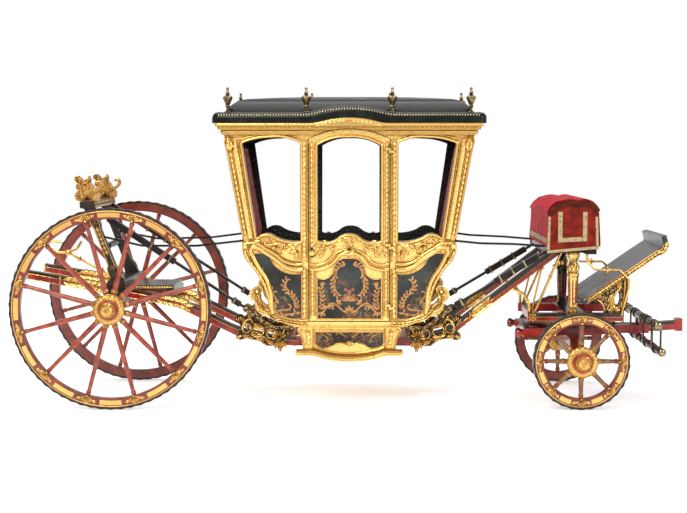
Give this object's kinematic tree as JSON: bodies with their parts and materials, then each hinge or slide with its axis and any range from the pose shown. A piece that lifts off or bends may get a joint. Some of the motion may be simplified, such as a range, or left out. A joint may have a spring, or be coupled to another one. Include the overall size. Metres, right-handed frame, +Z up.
{
  "type": "horse-drawn state coach",
  "caption": "Horse-drawn coach: gilded cabin slung on leather braces between two curved perches, with opening doors, steering fore carriage and a driver's seat.",
  "frame": {"origin": "on the ground, under the middle of the overall length and width", "axes": "+X forward along the pole, +Y to the coach's left, +Z up"},
  "size_m": [5.7279, 2, 2.678],
  "materials": {
    "gilt_wood": "gilded carving",
    "painted_panel": "dark painted panel",
    "black_leather": "oiled leather",
    "brass": "polished brass",
    "dark_wood": "stained wood",
    "lining_velvet": "velvet lining",
    "wrought_iron": "blackened iron",
    "red_lacquer": "painted and gilded wood",
    "red_velvet": "velvet with galloon",
    "gilt_iron": "gilded wrought iron"
  },
  "bodies": {
    "carriage": {"floor_pan": "gilt_wood", "rear_wall": "gilt_wood", "front_wall": "gilt_wood", "side_wall_right": "gilt_wood", "side_wall_left": "gilt_wood", "quarter_panels": "painted_panel", "end_panels": "painted_panel", "door_skirts": "gilt_wood", "corner_scrolls": "gilt_wood", "cornice": "gilt_wood", "roof": "black_leather", "roof_finials": "brass", "benches": "dark_wood", "seat_cushions": "lining_velvet", "wall_squabs": "lining_velvet", "body_loops": "wrought_iron", "braces": "black_leather", "perch_right": "red_lacquer", "perch_left": "red_lacquer", "perch_cross_bars": "red_lacquer", "perch_brackets": "gilt_wood", "rear_axle": "wrought_iron", "rear_bolster": "red_lacquer", "rear_standards": "red_lacquer", "rear_rails": "red_lacquer", "rear_crests": "gilt_wood", "rear_deck": "dark_wood", "upper_carriage": "red_lacquer", "front_columns": "gilt_wood", "seat_frame": "red_lacquer", "hammercloth": "red_velvet", "footboard": "black_leather", "footboard_brackets": "gilt_wood", "irons": "gilt_iron"},
    "fore_carriage": {"front_axle": "wrought_iron", "front_axle_bed": "red_lacquer", "futchells": "red_lacquer", "turntable": "wrought_iron", "pole": "red_lacquer", "splinter_bar": "dark_wood", "swingletrees": "dark_wood"},
    "right_door": {"door_right": "gilt_wood", "door_panel_right": "painted_panel"},
    "left_door": {"door_left": "gilt_wood", "door_panel_left": "painted_panel"},
    "rear_right": {"rear_tyre_right": "wrought_iron", "rear_wheel_right": "red_lacquer", "rear_hub_right": "gilt_wood"},
    "rear_left": {"rear_tyre_left": "wrought_iron", "rear_wheel_left": "red_lacquer", "rear_hub_left": "gilt_wood"},
    "front_right": {"front_tyre_right": "wrought_iron", "front_wheel_right": "red_lacquer", "front_hub_right": "gilt_wood"},
    "front_left": {"front_tyre_left": "wrought_iron", "front_wheel_left": "red_lacquer", "front_hub_left": "gilt_wood"}
  },
  "joints": [
    {"name": "steering", "type": "hinge", "parent": "carriage", "child": "fore_carriage", "pos_m": [1.8815, 0, 0.6], "axis": [0, 0, 1], "range_deg": [-35, 35]},
    {"name": "right_door_hinge", "type": "hinge", "parent": "carriage", "child": "right_door", "pos_m": [0.294, -0.66996, 1.39889], "axis": [0, -0.0737, 0.9973], "range_deg": [0, 100]},
    {"name": "left_door_hinge", "type": "hinge", "parent": "carriage", "child": "left_door", "pos_m": [0.294, 0.66996, 1.39889], "axis": [0, -0.0737, -0.9973], "range_deg": [0, 100]},
    {"name": "rear_right_wheel", "type": "hinge", "parent": "carriage", "child": "rear_right", "pos_m": [-2.0245, -0.805, 0.84], "axis": [0, 1, 0], "continuous": true},
    {"name": "rear_left_wheel", "type": "hinge", "parent": "carriage", "child": "rear_left", "pos_m": [-2.0245, 0.805, 0.84], "axis": [0, 1, 0], "continuous": true},
    {"name": "front_right_wheel", "type": "hinge", "parent": "fore_carriage", "child": "front_right", "pos_m": [1.8815, -0.765, 0.405], "axis": [0, 1, 0], "continuous": true},
    {"name": "front_left_wheel", "type": "hinge", "parent": "fore_carriage", "child": "front_left", "pos_m": [1.8815, 0.765, 0.405], "axis": [0, 1, 0], "continuous": true}
  ]
}
